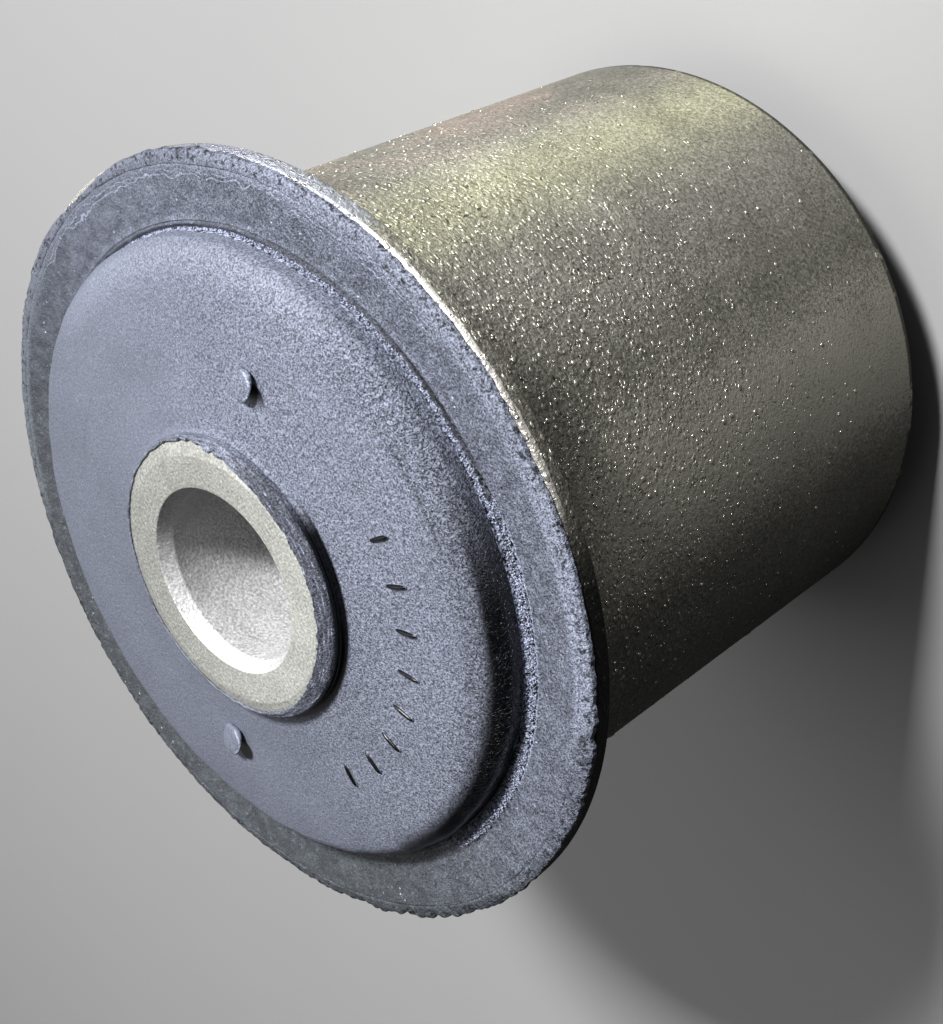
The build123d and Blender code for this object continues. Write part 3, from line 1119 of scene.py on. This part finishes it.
class BUSH_OT_rubber(bpy.types.Operator):
    """Moulds the rubber: lip, thrust face, skin over the flange and the groove at the back"""

    bl_idname = "bush.rubber"
    bl_label = "Rubber moulding"

    def execute(self, context):
        rubber = context.scene.bush_rubber
        shell = context.scene.bush_shell
        tube = context.scene.bush_tube
        tube_r = tube.radius / MM - SINK
        inside = (shell.radius - shell.wall) / MM
        front, back = shell.front / MM, shell.back / MM
        bend = (shell.bend + shell.wall) / MM
        film = back - BACK_FILM
        lip_r, lip_top = rubber.lip_radius / MM, rubber.lip_top / MM
        root_r, root_top = rubber.root_radius / MM, rubber.root_top / MM
        face_top, face_edge = rubber.face_top / MM, rubber.face_edge / MM
        face_r, shoulder = rubber.face_radius / MM, rubber.shoulder / MM
        edge_r, foot_r = rubber.skin_edge / MM, rubber.skin_foot / MM
        thin, thick = front + rubber.skin_thin / MM, front + rubber.skin_thick / MM
        mouth = (tube.radius / MM + inside) / 2
        half, depth = rubber.groove_width / MM / 2, rubber.groove_depth / MM
        # radius, height, rounding, and the step between rows after the corner
        corners = (
            (tube_r, film, 0.0, 24.0),
            (tube_r, lip_top, 0.0, 0.15),
            (lip_r, lip_top, 0.10, 0.10),
            (lip_r, root_top, 0.30, 0.40),
            (root_r, face_top, 16.0, 0.45),
            (face_r, face_edge, shoulder, 0.3),
            (face_r, thin - 0.02, 0.12, 0.08),
            (face_r + 0.9, thin, 0.0, 0.26),
            (edge_r - 0.6, thick - 0.1, 0.0, 0.09),
            (edge_r + 0.1, thick - 0.06, 0.3, 0.16),
            (foot_r, front - SINK, 0.0, 0.6),
            (inside + bend, front - SINK, 0.0, 3.0),
            (inside + bend * 0.3, front - bend * 0.3 - SINK * 2, 0.0, 3.0),
            (inside + SINK, front - bend, 0.0, 24.0),
            (inside + SINK, back + 0.5, 0.0, 0.5),
            (inside + SINK, back + SINK, 0.0, 0.8),
            (inside + 0.75, back + SINK, 0.0, 0.5),
            (inside + 0.75, film, 0.15, 1.0),
            (mouth + half, film, 0.55, 2.6),
            (mouth + half - 1.0, film + depth, 1.6, 0.9),
            (mouth - half + 1.0, film + depth, 1.6, 2.0),
            (mouth - half, film, 0.55, 1.2),
        )

        def relief(radius, height, turn):
            lifted = np.zeros_like(radius)
            shifted = np.zeros_like(radius)
            front_side = height > front - 0.01

            # the crown swells a little, sinks towards its rim and is never quite even
            crown = front_side * smooth_step(radius, lip_r, lip_r + 1.5)
            crown = crown * smooth_step(height, front + 1.2, front + 2.3)
            middle = (lip_r + face_r) / 2
            lifted += crown * 0.10 * (1 - ((radius - middle) / (middle - lip_r)) ** 2).clip(0, 1)
            lifted -= crown * 0.28 * ((radius - 17.0) / (face_r - 17.0)).clip(0, 1) ** 2
            lifted += crown * 0.035 * sheet_noise(3, 40, 2.4, turn, radius)

            # the foot of the face wanders, and has a fine crest with a crease beyond it
            wall = front_side * smooth_step(radius, 20.0, 22.2) * smooth_step(23.6 - radius, 0, 0.6)
            wander = 0.22 * ring_noise(5, 14, turn) + 0.05 * ring_noise(6, 90, turn)
            shifted += wall * wander
            low = front_side * (height < front + 0.5)
            rough_edge = ring_noise(7, 480, turn)
            wide = around(turn, -128, 46)
            crest_at = face_r + 0.42 + 0.05 * rough_edge
            lifted += low * (0.17 + 0.07 * rough_edge) * bump_at(radius, crest_at, 0.24)
            line_at = face_r + 0.85 + 0.35 * wide
            lifted += low * 0.08 * bump_at(radius, line_at, 0.20)
            lifted -= low * 0.07 * bump_at(radius, line_at + 0.3, 0.25)

            # the skin over the flange is lumpy, with two fine flash lines
            skin = low * smooth_step(radius, face_r + 0.8, face_r + 1.6)
            lifted += skin * 0.045 * sheet_noise(8, 260, 0.7, turn, radius)
            lifted += skin * 0.05 * sheet_noise(9, 70, 1.4, turn, radius)
            flash = around(turn, -78, 42) * smooth_step(ring_noise(10, 60, turn), -0.5, 0.2)
            for place, rise in ((26.55, 0.09), (26.95, 0.12)):
                line = place + 0.07 * ring_noise(11, 50, turn)
                lifted += skin * flash * rise * bump_at(radius, line, 0.14)

            # its outer edge dips under the torn film on the rim
            edge = low * smooth_step(radius, edge_r - 0.1, edge_r + 0.5)
            lifted -= edge * 0.05 * (1 + ring_noise(14, 200, turn))
            return lifted, shifted

        moulded("rubber", corners, rubber.turns, relief, rubber_finish(rubber), "rubber_body")
        return {"FINISHED"}


class BUSH_OT_flash(bpy.types.Operator):
    """Adds the torn rubber film on the flange's rim, round the tube's end and at the back"""

    bl_idname = "bush.flash"
    bl_label = "Torn flash"

    def execute(self, context):
        rubber = context.scene.bush_rubber
        shell = context.scene.bush_shell
        material = bpy.data.materials["rubber_finish"]
        self.rim(shell, material)
        self.lip(rubber, context.scene.bush_tube, material)
        self.sliver(shell, material)
        return {"FINISHED"}

    @staticmethod
    def rim(shell, material):
        rim, front = shell.flange / MM, shell.front / MM
        start = rim - 1.05

        def relief(radius, height, turn):
            share = smooth_step(radius, start + 0.35, rim - 0.05)
            coarse = 0.6 * ring_noise(21, 210, turn) + 0.4 * ring_noise(22, 560, turn)
            open_side = around(turn, -74, 44)
            loose = around(turn, 26, 16) + around(turn, -26, 16) * 0.8 + around(turn, 168, 46)
            loose = (loose + around(turn, -138, 26)).clip(0, 1)
            bare_steel = around(turn, 0, 13) + around(turn, -93, 11) * 0.45
            reach = 0.12 * loose - 0.05 * open_side - 0.42 * bare_steel
            reach = reach + (0.05 + 0.07 * open_side + 0.19 * loose) * coarse
            lifted = share * 0.05 * ring_noise(23, 500, turn)
            lifted -= share * loose * 0.10 * (ring_noise(24, 90, turn) + 1)
            lifted += 0.028 * sheet_noise(25, 420, 0.3, turn, radius)
            lifted += (1 - share) * 0.06 * ring_noise(26, 150, turn)
            return lifted, share * reach

        corners = (
            (start, front + 0.36, 0.0, 0.12),
            (start + 0.25, front + 0.54, 0.2, 0.08),
            (rim - 0.30, front + 0.49, 0.2, 0.07),
            (rim - 0.04, front + 0.36, 0.1, 0.07),
            (rim + 0.02, front + 0.05, 0.05, 0.08),
            (rim - 0.12, front - 0.12, 0.0, 0.20),
            (rim - 0.40, front - 0.05, 0.0, 0.5),
            (start, front + 0.10, 0.0, 0.5),
        )
        moulded("rim_flash", corners, 1500, relief, material)

    @staticmethod
    def lip(rubber, tube, material):
        lip, top = rubber.lip_radius / MM, rubber.lip_top / MM
        tube_r, end = tube.radius / MM, tube.height / MM

        def relief(radius, height, turn):
            share = smooth_step(lip - 0.1 - radius, 0, 1.0)
            rag = 0.55 * ring_noise(31, 110, turn) + 0.45 * ring_noise(32, 300, turn)
            covered = (around(turn, -85, 95) + around(turn, -150, 60) * 0.8).clip(0, 1)
            torn = around(turn, -25, 40)
            inward = 0.05 + 0.75 * (1 - covered) + 0.35 * torn
            inward = inward - (0.06 + 0.10 * covered + 0.16 * torn) * rag
            lifted = 0.020 * sheet_noise(33, 260, 0.25, turn, radius)
            lifted -= share * (1 - covered) * 0.12
            sag = 0.7 + 0.3 * ring_noise(34, 40, turn)
            lifted -= 0.05 * bump_at(radius, tube_r - 0.35, 0.25) * sag
            return lifted, share * inward

        corners = (
            (tube_r - 0.98, end - 0.10, 0.0, 0.10),
            (tube_r - 0.90, end + 0.00, 0.05, 0.09),
            (tube_r - 0.30, end - 0.14, 0.1, 0.09),
            (lip - 0.05, top + 0.06, 0.1, 0.07),
            (lip + 0.06, top - 0.12, 0.08, 0.10),
            (lip + 0.02, top - 0.60, 0.0, 0.3),
            (tube_r - 0.06, top - 0.65, 0.0, 0.3),
            (tube_r - 0.06, end - 0.40, 0.0, 0.3),
        )
        moulded("lip_flash", corners, 900, relief, material)

    @staticmethod
    def sliver(shell, material):
        outside, back = shell.radius / MM, shell.back / MM

        def relief(radius, height, turn):
            share = smooth_step(radius, outside - 0.7, outside - 0.1)
            loose = around(turn, -56, 17)
            rag = 0.5 + 0.5 * ring_noise(41, 240, turn)
            torn = share * loose
            return torn * 0.1 * rag, torn * (0.15 + 0.35 * rag)

        corners = (
            (outside - 1.1, back - 0.06, 0.0, 0.2),
            (outside - 0.62, back - 0.04, 0.0, 0.12),
            (outside - 0.55, back + 0.06, 0.0, 0.12),
            (outside - 1.1, back + 0.06, 0.0, 0.5),
        )
        moulded("back_flash", corners, 900, relief, material)


FIRST_TICK = 180                    # degrees round the axis
TICKS_SPREAD = 82                   # degrees from the first tick to the last


class BUSH_OT_marks(bpy.types.Operator):
    """Adds the broken gate stubs and a row of plain ticks on the thrust face"""

    bl_idname = "bush.marks"
    bl_label = "Gates and ticks"

    def execute(self, context):
        rubber = context.scene.bush_rubber
        detail = context.scene.bush_detail
        material = bpy.data.materials["rubber_finish"]
        gates = MarksTree("Gate stubs", {
            "Count": detail.gates,
            "Radius": detail.gate_reach,
            "Height": rubber.face_top + 0.46 * MM,
            "First angle": math.radians(GATE_ANGLE),
            "Step angle": FULL_TURN / detail.gates,
            "Lean": 0.24,
            "Long": detail.gate_size,
            "Wide": detail.gate_size,
            "High": 0.30 * MM,
            "Lumps": 0.18 * MM,
        })
        gates.set_out(material).piece("gate_stubs", material, "rubber")
        ticks = MarksTree("Plain ticks", {
            "Count": detail.ticks,
            "Radius": TICK_RADIUS,
            "Height": rubber.face_top - 0.08 * MM,
            "First angle": math.radians(FIRST_TICK),
            "Step angle": math.radians(TICKS_SPREAD) / (detail.ticks - 1),
            "Lean": 0.0,
            "Long": detail.tick_length / 2,
            "Wide": 0.20 * MM,
            "High": 0.34 * MM,
            "Lumps": 0.06 * MM,
        })
        ticks.set_out(material).piece("plain_ticks", material, "rubber")
        return {"FINISHED"}


BEAD_SEED = 51
NEAR_SEED = 61
FAR_SEED = 71


class BUSH_OT_specks(bpy.types.Operator):
    """Strews dried oil beads over the shell, and rubber crumbs along the foot of the face"""

    bl_idname = "bush.specks"
    bl_label = "Beads and crumbs"

    def execute(self, context):
        shell = context.scene.bush_shell
        rubber = context.scene.bush_rubber
        detail = context.scene.bush_detail
        bead = bead_finish(shell)
        beads = StrewnTree("Oil beads", {
            "Count": detail.beads,
            "From angle": 0.0,
            "To angle": FULL_TURN,
            "Low": shell.back + 1.5 * MM,
            "High": shell.front - 3.4 * MM,
            "Crowding": 0.42,
            "Radius": shell.radius,
            "Spread": 0.0,
            "Smallest": 0.05 * MM,
            "Largest": detail.bead_size,
            "Flatness": 0.42,
        })
        beads.strew(bead, BEAD_SEED).piece("oil_beads", bead, "shell_steel")
        crumb = crumb_finish(rubber)
        # a narrow line of crumbs on the near side, a broad band on the far side
        bands = (
            ("near_crumbs", NEAR_SEED, -100, -6, 0.16 * MM, 0.17 * MM),
            ("far_crumbs", FAR_SEED, -172, -98, 0.56 * MM, 0.42 * MM),
        )
        for name, seed, start, stop, offset, spread in bands:
            foot = StrewnTree("Foot crumbs", {
                "Count": detail.crumbs // 2,
                "From angle": math.radians(start),
                "To angle": math.radians(stop),
                "Low": shell.front + 0.17 * MM,
                "High": shell.front + 0.35 * MM,
                "Crowding": 1.0,
                "Radius": rubber.face_radius + offset,
                "Spread": spread,
                "Smallest": 0.03 * MM,
                "Largest": detail.crumb_size,
                "Flatness": 0.7,
            })
            foot.strew(crumb, seed, grit=True).piece(name, crumb, "rubber")
        return {"FINISHED"}


# name, metres from the bush, degrees round it and above it, width, height, pieces it reaches
LAMPS = (
    ("key", 0.45, -35, 43, 0.075, 0.075, ()),
    ("sky", 0.60, 40, 48, 0.45, 0.30, ()),
    ("side", 0.32, -9, -6, 0.12, 0.06, ("shell", "oil_beads")),
    ("low", 0.35, -52, -3, 0.14, 0.05, ("shell", "oil_beads")),
)
LAMP_TARGET = Vector((0, 0, 0.045))

FLOOR_REACH = 4.0
FLOOR_STEPS = 96
BRIGHT_SIDE = math.radians(32)      # of the world
WORLD_FADE = 0.35                   # how far the bright side fades into the dark one
WORLD_SEEN = 0.6                    # the world's light as the camera sees it

LENS = 61.97                        # millimetres, on a sensor 36 mm wide
CAMERA_PLACE = Vector((0, -0.101261, 0.116015))
CAMERA_RIGHT = Vector((-0.47163, -0.57423, -0.66920))
CAMERA_UP = Vector((0.88122, -0.27951, -0.38121))
CAMERA_BACK = Vector((0.03185, -0.76950, 0.63785))


class BUSH_OT_stage(bpy.types.Operator):
    """Sets the floor, the lamps, the world and the camera"""

    bl_idname = "bush.stage"
    bl_label = "Stage"

    def execute(self, context):
        settings = context.scene.bush_stage
        scene = context.scene
        self.floor(settings)
        self.world(scene, settings)
        for name, *placing in LAMPS:
            self.lamp(name, getattr(settings, name), *placing)
        self.camera(scene)
        scene.view_settings.view_transform = "Standard"
        return {"FINISHED"}

    @staticmethod
    def floor(settings):
        mesh = bpy.data.meshes.new("floor")
        turns = [FULL_TURN * step / FLOOR_STEPS for step in range(FLOOR_STEPS)]
        ring = [(FLOOR_REACH * math.cos(turn), FLOOR_REACH * math.sin(turn), 0) for turn in turns]
        mesh.from_pydata(ring, [], [tuple(range(FLOOR_STEPS))])
        mesh.materials.append(floor_finish(settings))
        floor = bpy.data.objects.new("floor", mesh)
        bpy.context.scene.collection.objects.link(floor)

    @staticmethod
    def world(scene, settings):
        world = bpy.data.worlds.new("soft_room")
        world.use_nodes = True
        world.node_tree.nodes.clear()
        graph = Graph(world.node_tree)
        seen = graph.number("ShaderNodeLightPath", out="Is Camera Ray")
        x, y, _ = graph.parts(graph.node("ShaderNodeTexCoord").outputs["Generated"])
        toward = x * math.cos(BRIGHT_SIDE) + y * math.sin(BRIGHT_SIDE)
        dome = band(toward, -WORLD_FADE, WORLD_FADE, settings.shade, settings.dome)
        strength = dome + seen * (WORLD_SEEN - dome)
        glow = graph.node("ShaderNodeBackground", None, {"Color": (1, 1, 1, 1), "Strength": strength})
        graph.node("ShaderNodeOutputWorld", None, {0: glow})
        scene.world = world

    @staticmethod
    def lamp(name, power, distance, turn, rise, width, height, reached):
        """A lamp aimed at the front of the bush, that reaches everything or some pieces only."""
        turn, rise = math.radians(turn), math.radians(rise)
        way = Vector((math.cos(rise) * math.cos(turn), math.cos(rise) * math.sin(turn), math.sin(rise)))
        panel = bpy.data.lights.new(name, "AREA")
        panel.shape = "RECTANGLE"
        panel.size = width
        panel.size_y = height
        panel.energy = power
        lamp = bpy.data.objects.new(name, panel)
        lamp.location = LAMP_TARGET + way * distance
        lamp.rotation_euler = way.to_track_quat("Z", "Y").to_euler()
        bpy.context.scene.collection.objects.link(lamp)
        if not reached:
            return
        reach = bpy.data.collections.new(name + "_reach")
        for piece in reached:
            reach.objects.link(bpy.data.objects[piece])
        lamp.light_linking.receiver_collection = reach
        for entry in reach.collection_objects:
            entry.light_linking.link_state = "INCLUDE"

    @staticmethod
    def camera(scene):
        data = bpy.data.cameras.new("camera")
        data.sensor_width = 36.0
        data.lens = LENS
        data.clip_start = 0.005
        data.clip_end = 20.0
        camera = bpy.data.objects.new("camera", data)
        turn = Matrix((CAMERA_RIGHT, CAMERA_UP, CAMERA_BACK)).transposed()
        camera.matrix_world = Matrix.Translation(CAMERA_PLACE) @ turn.to_4x4()
        scene.collection.objects.link(camera)
        scene.camera = camera


# ---------------------------------------------------------------- panel and registration

PIECES = (
    BUSH_OT_tube, BUSH_OT_shell, BUSH_OT_rubber, BUSH_OT_flash, BUSH_OT_marks, BUSH_OT_specks,
    BUSH_OT_stage,
)


class BUSH_PT_pieces(bpy.types.Panel):
    bl_idname = "BUSH_PT_pieces"
    bl_label = "Rubber metal bush"
    bl_space_type = "VIEW_3D"
    bl_region_type = "UI"
    bl_category = "Bush"

    def draw(self, context):
        for piece in PIECES:
            self.layout.operator(piece.bl_idname)


GROUPS = {
    "bush_tube": TubeSettings,
    "bush_shell": ShellSettings,
    "bush_rubber": RubberSettings,
    "bush_detail": DetailSettings,
    "bush_stage": StageSettings,
}


def register():
    for name, group in GROUPS.items():
        bpy.utils.register_class(group)
        setattr(bpy.types.Scene, name, PointerProperty(type=group))
    for kind in (*PIECES, BUSH_PT_pieces):
        bpy.utils.register_class(kind)


def unregister():
    for kind in reversed((*PIECES, BUSH_PT_pieces)):
        bpy.utils.unregister_class(kind)
    for name, group in GROUPS.items():
        delattr(bpy.types.Scene, name)
        bpy.utils.unregister_class(group)


def main():
    register()
    bpy.ops.bush.tube()
    bpy.ops.bush.shell()
    bpy.ops.bush.rubber()
    bpy.ops.bush.flash()
    bpy.ops.bush.marks()
    bpy.ops.bush.specks()
    bpy.ops.bush.stage()


if __name__ == "__main__":
    main()
